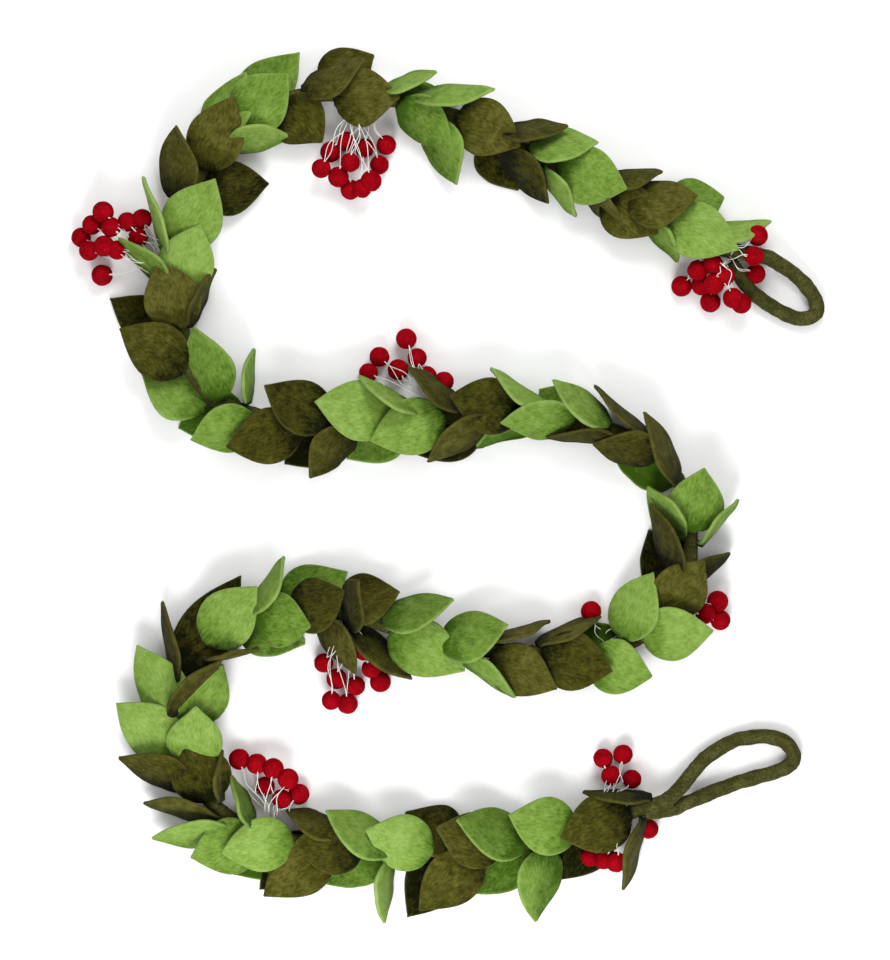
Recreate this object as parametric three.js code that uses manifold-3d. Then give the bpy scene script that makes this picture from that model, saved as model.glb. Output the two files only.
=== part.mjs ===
// A felt garland: wool-felt leaves in two greens and red felt berries on white threads, sewn along
// a felted rope with a hanging loop at each end. It lies in a reversed S on a flat surface.
// Millimetres, +Z up, the origin on the surface under the middle of the garland.
import * as THREE from "three";
import { mergeVertices } from "three/addons/utils/BufferGeometryUtils.js";
import Module from "manifold-3d";

const wasm = await Module();
wasm.setup();

// The layout is plotted from above on square paper, x to the right and y down the sheet.
const GRID = 0.643;
const SHEET_MIDDLE = { x: 448.8, y: 488 };

const GAP = 0.3;
const ROPE_RADIUS = 5;
const ROPE_HEIGHT = 17;
const ROPE_SIDES = 6;
const ROPE_STEPS = 60;
const ROPE_SAMPLES = 800;
const LOOP_SIDES = 8;
const LOOP_STEPS = 18;

const FELT = 2;
const LEAF_WIDTH = 32;
const LEAF_WIDEST = 0.42;
const LEAF_ARCH = 2.5;
const STEM_HALF_WIDTH = 2.5;
const STEM_STEP = 28;
const BLADE_SECTIONS = [0, 0.26, 0.7, 1];
const BAND_INNER = ROPE_RADIUS + 2.2;
const BAND_WALL = 2.2;
const BAND_LENGTH = 5;
const BAND_SIDES = 5;
const SEAT_RADIUS = BAND_INNER + BAND_WALL / 2;

const BERRY_RADIUS = 6.2;
const BERRY_SIDES = 5;
const THREAD_RADIUS = 0.55;
const STRIP_WIDTH = 3;
const STRIP_HEIGHT = 2.4;
const STRIP_PITCH = 2;

const LIGHT = new THREE.MeshStandardMaterial({ color: "#86a951", roughness: 0.95 });
const DARK = new THREE.MeshStandardMaterial({ color: "#5c5b2a", roughness: 0.95 });
const RED = new THREE.MeshStandardMaterial({ color: "#b0101f", roughness: 0.9 });
const OLIVE = new THREE.MeshStandardMaterial({ color: "#4b4c26", roughness: 0.95 });

// Where a leaf's stem is sewn on, in degrees round the rope from its top towards its left.
const TOP = 0;
const UPPER_LEFT = 45;
const LEFT = 90;
const UPPER_RIGHT = -45;
const RIGHT = -90;
const LOWER_LEFT = 140;
const LOWER_RIGHT = -140;
const UNDER = 180;

// The rope's run from the lower loop to the upper one, as sheet x, y.
const ROPE_ROUTE = [
  [672, 800], [535, 841], [455, 850], [305, 843], [250, 831], [210, 801],
  [188, 757], [182, 710], [190, 668], [215, 634], [255, 616], [310, 610], [360, 617], [420, 637],
  [482, 650], [550, 653], [610, 649], [655, 627], [684, 585], [691, 540], [683, 490], [655, 452],
  [613, 431], [560, 421], [500, 412], [445, 417], [300, 419], [245, 412], [205, 391],
  [184, 345], [175, 255], [185, 208], [212, 150], [255, 109], [310, 95], [370, 96],
  [440, 111], [505, 140], [655, 214], [736, 255],
];

// The hanging loops, as sheet x, y and height of the rope's middle: out from the garland and back.
const LOOPS = [
  {
    name: "loop_lower",
    route: [
      [677, 797, 17], [686, 783, 15], [706, 760, 9], [733, 744, 5.7], [761, 738, 5.1], [786, 743, 5.1],
      [797, 756, 5.1], [788, 769, 5.1], [764, 777, 5.1], [733, 787, 5.7], [706, 797, 8], [686, 805, 10],
    ],
  },
  {
    name: "loop_upper",
    route: [
      [743, 254, 17], [767, 255, 13], [792, 270, 7], [813, 290, 5.1], [820, 307, 5.1], [808, 319, 5.1],
      [782, 311, 5.1], [758, 295, 7], [744, 281, 11],
    ],
  },
];

// Each leaf: root x, y, tip x, y on the sheet, seat round the rope, tip height, roll of the blade
// about its own length (a left edge that drops is positive). A tip under the surface lies flat on it.
const SPRAYS = [
  { felt: DARK, leaves: [
    [629, 816, 559, 833, TOP, 31, 0], [640, 810, 623, 891, LEFT, 17, 75],
    [655, 805, 583, 795, RIGHT, 30, -70], [605, 822, 554, 884, UNDER, -6, 0] ] },
  { felt: LIGHT, leaves: [
    [578, 830, 507, 815, TOP, 31, -8], [526, 840, 455, 820, TOP, 31, -8],
    [543, 840, 535, 924, LEFT, -2, 0], [530, 842, 462, 896, UNDER, -6, 0] ] },
  { felt: DARK, leaves: [
    [505, 846, 436, 826, TOP, 31, -10], [478, 848, 419, 912, UPPER_LEFT, 14, 15],
    [455, 850, 407, 921, UNDER, -6, 0], [460, 849, 405, 814, RIGHT, 8, -30] ] },
  { felt: LIGHT, leaves: [
    [432, 850, 366, 828, TOP, 31, -5], [392, 850, 326, 809, TOP, 29, -12],
    [392, 850, 384, 924, LEFT, 14, 60], [385, 850, 316, 886, UNDER, -6, 0] ] },
  { felt: DARK, leaves: [
    [362, 848, 295, 836, TOP, 31, 0], [332, 846, 268, 898, UPPER_LEFT, 16, 15],
    [322, 845, 258, 893, UNDER, -6, 0], [345, 847, 285, 812, RIGHT, 8, -30] ] },
  { felt: LIGHT, leaves: [
    [293, 841, 222, 851, TOP, 31, 5], [262, 834, 191, 856, UPPER_LEFT, 24, 10],
    [232, 822, 152, 838, LEFT, 16, 40], [252, 831, 231, 775, UPPER_RIGHT, 22, -75],
    [290, 841, 232, 878, UNDER, -6, 0] ] },
  { felt: DARK, leaves: [
    [206, 797, 186, 748, TOP, 36, 0], [214, 806, 141, 803, LEFT, 10, 35],
    [197, 785, 117, 758, LEFT, 18, 45], [209, 799, 213, 750, RIGHT, 22, -78] ] },
  { felt: LIGHT, leaves: [
    [190, 768, 197, 705, TOP, 31, 0], [187, 752, 116, 703, UPPER_LEFT, 20, 12],
    [182, 722, 136, 648, UPPER_LEFT, 20, 15], [182, 724, 225, 668, UPPER_RIGHT, 22, -15],
    [189, 762, 128, 740, UNDER, -6, 0] ] },
  { felt: DARK, leaves: [
    [184, 690, 161, 603, LEFT, 18, 80], [183, 702, 223, 662, RIGHT, 14, -45],
    [192, 665, 259, 647, RIGHT, 16, -75], [196, 656, 240, 576, UNDER, -6, 0] ] },
  { felt: LIGHT, leaves: [
    [207, 643, 258, 588, TOP, 31, 8], [255, 616, 312, 628, TOP, 31, -8],
    [250, 618, 285, 556, UPPER_LEFT, 26, 50], [240, 622, 304, 645, UNDER, -6, 0],
    [283, 611, 347, 572, LEFT, 12, 20] ] },
  { felt: DARK, leaves: [
    [289, 611, 345, 590, TOP, 30, 6], [343, 613, 357, 571, LEFT, 30, 60],
    [335, 611, 399, 594, UPPER_LEFT, 29, 8], [322, 610, 357, 674, UPPER_RIGHT, 17, -6],
    [355, 616, 412, 680, RIGHT, 15, 45] ] },
  { felt: LIGHT, leaves: [
    [380, 622, 454, 600, UPPER_LEFT, 30, 35], [393, 627, 465, 670, UPPER_RIGHT, 24, -12],
    [440, 642, 508, 624, TOP, 31, 5], [462, 647, 516, 698, RIGHT, 16, -75] ] },
  { felt: DARK, leaves: [
    [490, 651, 557, 688, UPPER_RIGHT, 24, -10], [543, 653, 612, 670, TOP, 31, -8],
    [488, 650, 552, 622, LEFT, 18, 70], [535, 653, 598, 620, LEFT, 16, 50] ] },
  { felt: LIGHT, leaves: [
    [590, 651, 652, 678, UPPER_RIGHT, 24, -12], [622, 646, 652, 572, UPPER_LEFT, 28, 10],
    [641, 637, 711, 629, TOP, 31, -8], [625, 645, 664, 590, UNDER, -6, 0] ] },
  { felt: DARK, leaves: [
    [676, 602, 699, 554, TOP, 34, -5], [684, 583, 650, 505, UPPER_LEFT, 24, 45],
    [682, 590, 732, 552, RIGHT, 18, -72], [682, 590, 650, 530, UNDER, -6, 0] ] },
  { felt: LIGHT, leaves: [
    [690, 532, 703, 468, TOP, 31, -5], [691, 545, 740, 500, RIGHT, 18, -65],
    [691, 540, 648, 486, LEFT, 20, 65], [685, 497, 610, 455, UNDER, -6, 0] ] },
  { felt: DARK, leaves: [
    [660, 457, 591, 445, TOP, 31, 5], [680, 482, 643, 413, TOP, 31, -25],
    [654, 451, 594, 385, RIGHT, 18, -75], [628, 437, 546, 437, LEFT, 18, 75] ] },
  { felt: LIGHT, leaves: [
    [608, 430, 552, 383, UPPER_RIGHT, 26, -25], [573, 424, 499, 423, TOP, 31, 5],
    [556, 420, 490, 368, RIGHT, 18, -75], [550, 419, 473, 448, LEFT, 16, 72],
    [585, 425, 540, 388, UNDER, -6, 0] ] },
  { felt: DARK, leaves: [
    [520, 414, 449, 396, TOP, 31, -8], [492, 412, 426, 462, UPPER_LEFT, 18, 35],
    [465, 415, 408, 369, UPPER_RIGHT, 24, -25], [475, 414, 412, 453, UNDER, -6, 0] ] },
  { felt: LIGHT, leaves: [
    [446, 417, 371, 440, TOP, 31, 8], [392, 420, 315, 404, TOP, 30, -5],
    [420, 418, 357, 376, UPPER_RIGHT, 26, -50], [402, 419, 346, 459, UNDER, -6, 0] ] },
  { felt: DARK, leaves: [
    [335, 420, 263, 388, TOP, 30, -12], [300, 419, 225, 450, UPPER_LEFT, 29, 10],
    [355, 420, 310, 479, LEFT, 8, 15], [340, 420, 283, 464, UNDER, -6, 0] ] },
  { felt: LIGHT, leaves: [
    [218, 400, 194, 328, TOP, 31, 0], [248, 412, 255, 347, RIGHT, 20, -78],
    [258, 414, 190, 441, UPPER_LEFT, 26, 10], [212, 396, 140, 374, LEFT, 10, 10],
    [240, 411, 176, 428, UNDER, -6, 0] ] },
  { felt: DARK, leaves: [
    [194, 368, 119, 329, UPPER_LEFT, 24, 12], [181, 330, 160, 262, TOP, 31, 5],
    [184, 345, 107, 297, UNDER, -6, 0], [180, 328, 217, 268, RIGHT, 18, -75] ] },
  { felt: LIGHT, leaves: [
    [175, 290, 203, 226, TOP, 31, -8], [177, 248, 217, 181, TOP, 32, -10],
    [175, 257, 145, 178, LEFT, 36, 65], [175, 288, 119, 239, LEFT, 17, 0] ] },
  { felt: DARK, leaves: [
    [203, 168, 234, 98, TOP, 31, 5], [184, 210, 176, 126, UPPER_LEFT, 24, 30],
    [192, 190, 268, 182, RIGHT, 8, -10] ] },
  { felt: LIGHT, leaves: [
    [236, 125, 289, 77, TOP, 31, 5], [245, 116, 299, 52, LEFT, 14, 10],
    [218, 143, 246, 72, UPPER_LEFT, 20, 20], [226, 134, 290, 136, RIGHT, 12, -45] ] },
  { felt: DARK, leaves: [
    [280, 101, 322, 142, UPPER_RIGHT, 18, -15], [333, 94, 401, 102, TOP, 31, -8],
    [303, 96, 368, 63, UPPER_LEFT, 26, 30] ] },
  { felt: LIGHT, leaves: [
    [382, 98, 437, 72, LEFT, 20, 55], [412, 104, 495, 91, UPPER_LEFT, 30, 30],
    [400, 101, 453, 147, UPPER_RIGHT, 22, -30], [432, 109, 457, 185, RIGHT, 10, -12],
    [400, 101, 462, 80, UNDER, -6, 0] ] },
  { felt: DARK, leaves: [
    [456, 117, 520, 148, TOP, 31, -8], [502, 138, 569, 128, UPPER_LEFT, 33, 12],
    [506, 141, 551, 203, RIGHT, 12, -12], [492, 134, 519, 188, UNDER, -6, 0] ] },
  { felt: LIGHT, leaves: [
    [530, 153, 601, 143, UPPER_LEFT, 29, 10], [555, 167, 626, 191, TOP, 31, -8],
    [542, 160, 579, 218, RIGHT, 18, -75], [548, 163, 608, 160, UNDER, -6, 0] ] },
  { felt: DARK, leaves: [
    [602, 190, 663, 173, LEFT, 20, 55], [627, 201, 698, 197, TOP, 31, 5],
    [606, 192, 658, 235, RIGHT, 16, -12], [590, 184, 620, 228, RIGHT, 18, -72] ] },
  { felt: LIGHT, leaves: [
    [668, 220, 738, 250, TOP, 30, -8], [662, 217, 682, 262, RIGHT, 14, -60],
    [665, 219, 725, 197, LEFT, 16, 15], [702, 237, 773, 220, LEFT, 14, 40] ] },
];

// Each berry cluster: the sheet x, y and side of the rope where its threads are sewn on, then the
// berries' sheet x, y and the height of each one's underside.
const CLUSTERS = [
  { tie: [612, 820, LOWER_RIGHT], berries: [
    [604, 760, 0], [624, 756, 0], [612, 777, 0], [633, 781, 0] ] },
  { tie: [633, 813, LOWER_LEFT], berries: [ [603, 866, 6], [610, 876, 0], [653, 832, 0] ] },
  { tie: [264, 835, LOWER_RIGHT], berries: [
    [238, 761, 0], [256, 765, 0], [273, 769, 0], [288, 779, 0], [298, 796, 0], [264, 788, 0],
    [281, 800, 0] ] },
  { tie: [345, 614, LOWER_RIGHT], berries: [
    [323, 664, 0], [336, 680, 0], [331, 701, 0], [355, 687, 0], [347, 705, 0], [364, 651, 0],
    [371, 669, 0], [380, 683, 0] ] },
  { tie: [668, 614, LOWER_RIGHT], berries: [ [719, 602, 0], [706, 614, 0], [722, 621, 0] ] },
  { tie: [608, 649, LOWER_LEFT], berries: [ [592, 612, 0], [610, 606, 0] ] },
  { tie: [430, 418, RIGHT], berries: [
    [406, 338, 0], [379, 356, 0], [417, 357, 0], [368, 372, 0], [398, 369, 0], [427, 375, 0],
    [444, 381, 0] ] },
  { tie: [175, 272, LOWER_LEFT], berries: [
    [103, 212, 0], [91, 224, 0], [111, 227, 0], [79, 236, 0], [88, 250, 0], [104, 246, 0],
    [100, 274, 0], [127, 222, 0], [142, 219, 0] ] },
  { tie: [358, 96, RIGHT], berries: [
    [330, 150, 0], [321, 168, 0], [338, 176, 0], [350, 162, 0], [353, 187, 0], [370, 182, 0],
    [379, 163, 0], [386, 143, 0], [364, 146, 0] ] },
  { tie: [722, 248, RIGHT], berries: [
    [683, 285, 0], [698, 270, 0], [713, 264, 0], [714, 284, 0], [712, 303, 0], [731, 290, 0],
    [742, 304, 0] ] },
];

/** A sheet point in millimetres of the garland's own frame. */
function onSheet(x, y, height) {
  return new THREE.Vector3((x - SHEET_MIDDLE.x) * GRID, (SHEET_MIDDLE.y - y) * GRID, height);
}

/** A solid from a closed geometry, with its shared vertices merged. */
function solidOf(geometry) {
  const bare = geometry.clone();
  bare.deleteAttribute("normal");
  bare.deleteAttribute("uv");
  const merged = mergeVertices(bare, 1e-4);
  return new wasm.Manifold(new wasm.Mesh({
    numProp: 3,
    vertProperties: new Float32Array(merged.attributes.position.array),
    triVerts: new Uint32Array(merged.index.array),
  }));
}

/** A named mesh of a solid, in its felt. */
function meshOf(name, solid, felt) {
  const { vertProperties, triVerts } = solid.getMesh();
  const geometry = new THREE.BufferGeometry();
  geometry.setAttribute("position", new THREE.BufferAttribute(vertProperties, 3));
  geometry.setIndex(new THREE.BufferAttribute(triVerts, 1));
  geometry.computeVertexNormals();
  const mesh = new THREE.Mesh(geometry, felt);
  mesh.name = name;
  return mesh;
}

/** A round tube along a curve, as an extruded polygon. */
function tube(path, radius, sides, steps) {
  const corners = Array.from({ length: sides }, (_, i) => {
    const turn = ((i + 0.5) / sides) * 2 * Math.PI;
    return new THREE.Vector2(radius * Math.cos(turn), radius * Math.sin(turn));
  });
  return new THREE.ExtrudeGeometry(new THREE.Shape(corners), { steps, extrudePath: path });
}

/** A closed skin over a row of four-cornered rings, drawn to an upright edge at its tip. */
function loft(rings, tipEdge) {
  const last = 4 * (rings.length - 1);
  const [over, under] = [last + 4, last + 5];
  const triangles = [0, 1, 2, 0, 2, 3];
  for (let ring = 0; ring < last; ring += 4) {
    for (let j = 0; j < 4; j += 1) {
      const a = ring + j;
      const b = ring + ((j + 1) % 4);
      triangles.push(a, b + 4, b, a, a + 4, b + 4);
    }
  }
  triangles.push(last, over, under, last, under, last + 1, last + 1, under, last + 2);
  triangles.push(last + 2, under, over, last + 2, over, last + 3, last + 3, over, last);
  const geometry = new THREE.BufferGeometry().setFromPoints([...rings.flat(), ...tipEdge]);
  geometry.setIndex(triangles);
  return geometry;
}

const rope = new THREE.CatmullRomCurve3(
  ROPE_ROUTE.map(([x, y]) => onSheet(x, y, ROPE_HEIGHT)), false, "catmullrom", 0.5,
);
const ropeCorners = rope.getSpacedPoints(ROPE_STEPS);
const ropeSamples = rope.getSpacedPoints(ROPE_SAMPLES);
const ropeLength = rope.getLength();

/** How far along the rope a sheet point lies, in millimetres. */
function stationOf(x, y) {
  const point = onSheet(x, y, ROPE_HEIGHT);
  const gaps = ropeSamples.map((sample) => sample.distanceToSquared(point));
  return (gaps.indexOf(Math.min(...gaps)) / ROPE_SAMPLES) * ropeLength;
}

/** The rope's middle, run, left and outward directions at a station and a seat round it. */
function ropeFrame(station, seat) {
  const share = THREE.MathUtils.clamp(station / ropeLength, 0, 1);
  const turn = THREE.MathUtils.degToRad(seat);
  const run = rope.getTangentAt(share);
  const left = new THREE.Vector3(-run.y, run.x, 0);
  const outward = left.clone().multiplyScalar(Math.sin(turn));
  outward.z = Math.cos(turn);
  const step = Math.min(Math.floor(share * ROPE_STEPS), ROPE_STEPS - 1);
  const middle = ropeCorners[step].clone().lerp(ropeCorners[step + 1], share * ROPE_STEPS - step);
  return { middle, run, left, outward };
}

/** Half a leaf's width at a share of its length: a rounded base and a pointed tip. */
function leafHalfWidth(share) {
  const round = Math.sqrt(Math.max(0, 1 - ((LEAF_WIDEST - share) / LEAF_WIDEST) ** 2));
  const point = Math.cos((Math.PI / 2) * ((share - LEAF_WIDEST) / (1 - LEAF_WIDEST)));
  return Math.max((LEAF_WIDTH / 2) * (share < LEAF_WIDEST ? round : point), STEM_HALF_WIDTH);
}

/** Four corners of a strip of felt across a leaf, none under the surface. */
function feltRing(middle, across, face, halfWidth, halfFelt) {
  const edges = [1, -1].map((side) => {
    const edge = middle.clone().addScaledVector(across, side * halfWidth);
    edge.z = Math.max(edge.z, FELT / 2);
    return edge;
  });
  const [left, right] = edges;
  return [
    left.clone().addScaledVector(face, halfFelt), left.clone().addScaledVector(face, -halfFelt),
    right.clone().addScaledVector(face, -halfFelt), right.clone().addScaledVector(face, halfFelt),
  ];
}

/** One leaf: a stem along the rope from the spray's band, then the blade out to its tip. */
function leafSolid(leaf, bandStation, grow) {
  const [rootX, rootY, tipX, tipY, seat, tipHeight, rollDegrees] = leaf;
  const halfFelt = FELT / 2 + grow;
  const station = stationOf(rootX, rootY);
  const base = ropeFrame(station, seat);
  const root = base.middle.clone().addScaledVector(base.outward, SEAT_RADIUS);
  const tip = onSheet(tipX, tipY, tipHeight);
  const crown = root.clone().lerp(tip, 0.5);
  crown.z += LEAF_ARCH;
  const spine = new THREE.QuadraticBezierCurve3(root, crown, tip);
  const roll = THREE.MathUtils.degToRad(rollDegrees);

  const blade = BLADE_SECTIONS.map((share) => {
    const middle = spine.getPoint(share);
    const ahead = spine.getTangent(share);
    if (middle.z < FELT / 2) {
      middle.z = FELT / 2;
      ahead.setZ(0).normalize();
    }
    const level = new THREE.Vector3(-ahead.y, ahead.x, 0).normalize();
    const up = ahead.clone().cross(level);
    const across = level.clone().multiplyScalar(Math.cos(roll)).addScaledVector(up, -Math.sin(roll));
    const face = up.clone().multiplyScalar(Math.cos(roll)).addScaledVector(level, Math.sin(roll));
    return { middle, across, face, halfWidth: leafHalfWidth(share) + grow };
  });

  const stemSteps = Math.ceil((station - bandStation) / STEM_STEP);
  const stem = Array.from({ length: stemSteps }, (_, i) => {
    const share = i / stemSteps;
    const at = ropeFrame(THREE.MathUtils.lerp(bandStation, station, share), seat);
    const middle = at.middle.clone().addScaledVector(at.outward, SEAT_RADIUS);
    const across = at.run.clone().cross(at.outward).negate();
    const keep = across.dot(blade[0].across) < 0 ? -1 : 1;
    across.multiplyScalar(keep);
    const face = at.outward.clone().multiplyScalar(keep);
    return { middle, across, face, halfWidth: STEM_HALF_WIDTH + grow };
  });

  const point = blade.pop();
  const tipEdge = [halfFelt, -halfFelt].map((rise) => point.middle.clone().addScaledVector(point.face, rise));
  const rings = [...stem, ...blade].map(({ middle, across, face, halfWidth }) =>
    feltRing(middle, across, face, halfWidth, halfFelt));
  return solidOf(loft(rings, tipEdge));
}

/** The sewn band round the rope that a spray's stems grow from. */
function bandSolid(station, grow) {
  const { middle, run } = ropeFrame(station, TOP);
  const inner = BAND_INNER - grow;
  const outer = BAND_INNER + BAND_WALL + grow;
  const half = BAND_LENGTH / 2 + grow;
  const wall = [[inner, -half], [outer, -half], [outer, half], [inner, half], [inner, -half]];
  const band = new THREE.LatheGeometry(wall.map(([r, h]) => new THREE.Vector2(r, h)), BAND_SIDES);
  const turn = new THREE.Quaternion().setFromUnitVectors(new THREE.Vector3(0, 1, 0), run);
  band.applyQuaternion(turn).translate(middle.x, middle.y, middle.z);
  return solidOf(band);
}

/** A whole spray of leaves on its band, each face moved out by grow. */
function spraySolid(spray, grow) {
  const stations = spray.leaves.map(([x, y]) => stationOf(x, y));
  const bandStation = Math.min(...stations);
  return spray.leaves.reduce(
    (joined, leaf) => joined.add(leafSolid(leaf, bandStation, grow)), bandSolid(bandStation, grow),
  );
}

/** A ball on the end of a thread, turned as one piece about the thread. */
function berrySolid(start, centre, grow) {
  const reach = centre.distanceTo(start);
  const ball = BERRY_RADIUS + grow;
  const thread = THREAD_RADIUS + grow;
  const profile = [
    [0, 0], [thread, 0], [thread, reach - ball], [0.8 * ball, reach - 0.6 * ball],
    [0.94 * ball, reach + 0.34 * ball], [0, reach + ball],
  ];
  const berry = new THREE.LatheGeometry(profile.map(([r, h]) => new THREE.Vector2(r, h)), BERRY_SIDES);
  const along = centre.clone().sub(start).normalize();
  const turn = new THREE.Quaternion().setFromUnitVectors(new THREE.Vector3(0, 1, 0), along);
  return solidOf(berry.applyQuaternion(turn).translate(start.x, start.y, start.z));
}

/** A cluster of berries, their threads side by side from a narrow strip sewn along the rope. */
function clusterSolid(cluster, grow) {
  const [tieX, tieY, side] = cluster.tie;
  const { middle, run, outward } = ropeFrame(stationOf(tieX, tieY), side);
  const strip = middle.addScaledVector(outward, ROPE_RADIUS + 2 * GAP + STRIP_HEIGHT / 2);
  const length = STRIP_PITCH * (cluster.berries.length + 1);
  const box = new THREE.BoxGeometry(length + 2 * grow, STRIP_WIDTH + 2 * grow, STRIP_HEIGHT + 2 * grow);
  box.applyMatrix4(new THREE.Matrix4().makeBasis(run, outward.clone().cross(run), outward));
  box.translate(strip.x, strip.y, strip.z);
  const berries = cluster.berries.map(([x, y, underside]) => onSheet(x, y, underside + BERRY_RADIUS));
  berries.sort((one, other) => one.dot(run) - other.dot(run));
  return berries.reduce((joined, berry, i) => {
    const start = strip.clone().addScaledVector(run, STRIP_PITCH * (i + 1) - length / 2);
    return joined.add(berrySolid(start, berry, grow));
  }, solidOf(box));
}

/** The largest closed body of a solid. */
function mainBody(solid) {
  return solid.decompose().reduce((best, body) => (body.volume() > best.volume() ? body : best));
}

const garland = new THREE.Group();
const ropeSolid = solidOf(tube(rope, ROPE_RADIUS, ROPE_SIDES, ROPE_STEPS));
garland.add(meshOf("rope", ropeSolid, OLIVE));
const cutters = [solidOf(tube(rope, ROPE_RADIUS + GAP, ROPE_SIDES, ROPE_STEPS))];

LOOPS.forEach(({ name, route }) => {
  const path = new THREE.CatmullRomCurve3(
    route.map(([x, y, height]) => onSheet(x, y, height)), false, "catmullrom", 0.5,
  );
  const cutter = solidOf(tube(path, ROPE_RADIUS + GAP, LOOP_SIDES, LOOP_STEPS));
  garland.add(meshOf(name, solidOf(tube(path, ROPE_RADIUS, LOOP_SIDES, LOOP_STEPS)), OLIVE));
  cutters.push(cutter);
});

CLUSTERS.forEach((cluster, i) => {
  const name = `berries_${String(i + 1).padStart(2, "0")}`;
  garland.add(meshOf(name, clusterSolid(cluster, 0), RED));
  cutters.push(clusterSolid(cluster, GAP));
});

// Sprays are fitted from the upper end back, so that a leaf tip gives way to the stems under it.
[...SPRAYS.entries()].reverse().forEach(([i, spray]) => {
  const name = `${spray.felt === LIGHT ? "light" : "dark"}_leaves_${String(i + 1).padStart(2, "0")}`;
  const cut = cutters.reduce((left, cutter) => left.subtract(cutter), spraySolid(spray, 0));
  garland.add(meshOf(name, mainBody(cut), spray.felt));
  cutters.push(spraySolid(spray, GAP));
});

export default garland;
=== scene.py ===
"""A felt garland of leaves and berries on a felted rope, lying in a reversed S on a white surface."""
import logging
import math
from dataclasses import dataclass, field
from enum import Enum
from typing import Any, Union

import bpy
import numpy as np
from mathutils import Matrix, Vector


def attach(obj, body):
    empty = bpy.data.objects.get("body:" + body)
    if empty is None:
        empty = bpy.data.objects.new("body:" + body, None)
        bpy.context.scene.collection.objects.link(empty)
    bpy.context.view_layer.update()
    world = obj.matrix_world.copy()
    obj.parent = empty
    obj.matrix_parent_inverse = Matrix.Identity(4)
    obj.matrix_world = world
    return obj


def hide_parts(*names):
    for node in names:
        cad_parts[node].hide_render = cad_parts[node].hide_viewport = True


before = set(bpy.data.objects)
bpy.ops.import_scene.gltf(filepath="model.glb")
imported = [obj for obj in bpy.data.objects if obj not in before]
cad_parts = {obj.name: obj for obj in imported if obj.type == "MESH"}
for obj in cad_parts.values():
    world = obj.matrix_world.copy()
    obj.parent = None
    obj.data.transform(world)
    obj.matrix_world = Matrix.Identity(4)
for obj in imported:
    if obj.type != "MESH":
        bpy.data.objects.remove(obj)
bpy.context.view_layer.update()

log = logging.getLogger("garland")
MM = 0.001
# The shortest length that a direction is taken from.
TINY = 1e-12
# Noise runs from 0 to 1 about this value.
NOISE_MIDDLE = 0.5
LUMP_DETAIL = 3.0
LUMP_ROUGHNESS = 0.6
Colour = tuple[float, float, float]
Stop = tuple[float, Colour]


class Seat(Enum):
    """Where a stem is sewn on, in degrees round the rope from its top towards its left."""

    TOP = 0
    UPPER_LEFT = 45
    LEFT = 90
    UPPER_RIGHT = -45
    RIGHT = -90
    LOWER_LEFT = 140
    LOWER_RIGHT = -140
    UNDER = 180


class Felt(Enum):
    """The two greens, by the record's material slot."""

    LIGHT = "light_felt"
    DARK = "dark_felt"


LeafRow = tuple[float, float, float, float, Seat, float, float]
SprayRow = tuple[Felt, list[LeafRow]]
BerryRow = tuple[float, float, float]
ClusterRow = tuple[tuple[float, float], Seat, list[BerryRow]]

# The layout is plotted from above on square paper, x to the right and y down the sheet.
GRID = 0.643 * MM
SHEET_MIDDLE = (448.8, 488)

# The rope's run from the lower loop to the upper one, as sheet x, y.
ROPE_ROUTE = [
    (672, 800), (535, 841), (455, 850), (305, 843), (250, 831), (210, 801), (188, 757), (182, 710),
    (190, 668), (215, 634), (255, 616), (310, 610), (360, 617), (420, 637), (482, 650), (550, 653),
    (610, 649), (655, 627), (684, 585), (691, 540), (683, 490), (655, 452), (613, 431), (560, 421),
    (500, 412), (445, 417), (300, 419), (245, 412), (205, 391), (184, 345), (175, 255), (185, 208),
    (212, 150), (255, 109), (310, 95), (370, 96), (440, 111), (505, 140), (655, 214), (736, 255),
]

# The hanging loops, as sheet x, y and the height of the rope's middle in millimetres.
LOOP_ROUTES = {
    "loop_lower": [
        (658, 806, 19), (668, 800, 18), (677, 792, 17), (686, 782, 15), (706, 760, 9), (733, 744, 5.7),
        (752, 739, 5.4), (771, 738.5, 5.4), (786, 743, 5.4), (795.5, 753, 5.4), (795, 763, 5.4),
        (786, 770.5, 5.4), (770, 776, 5.4), (752, 781, 5.5), (733, 787, 5.7), (706, 797, 8),
        (690, 803, 11), (668, 811, 15), (645, 813, 16),
    ],
    "loop_upper": [
        (724, 249, 18), (743, 252, 17), (767, 256, 13), (781, 263, 9.5), (795, 272, 6.5),
        (808, 284, 5.4), (817, 297, 5.4), (820, 307.5, 5.4), (815.5, 315, 5.4), (806, 317.5, 5.4),
        (794, 315.5, 5.4), (779, 308.5, 5.5), (764, 299, 6.5), (751, 288, 8.5), (741, 275, 10.5),
        (732, 262, 12),
    ],
}

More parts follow.
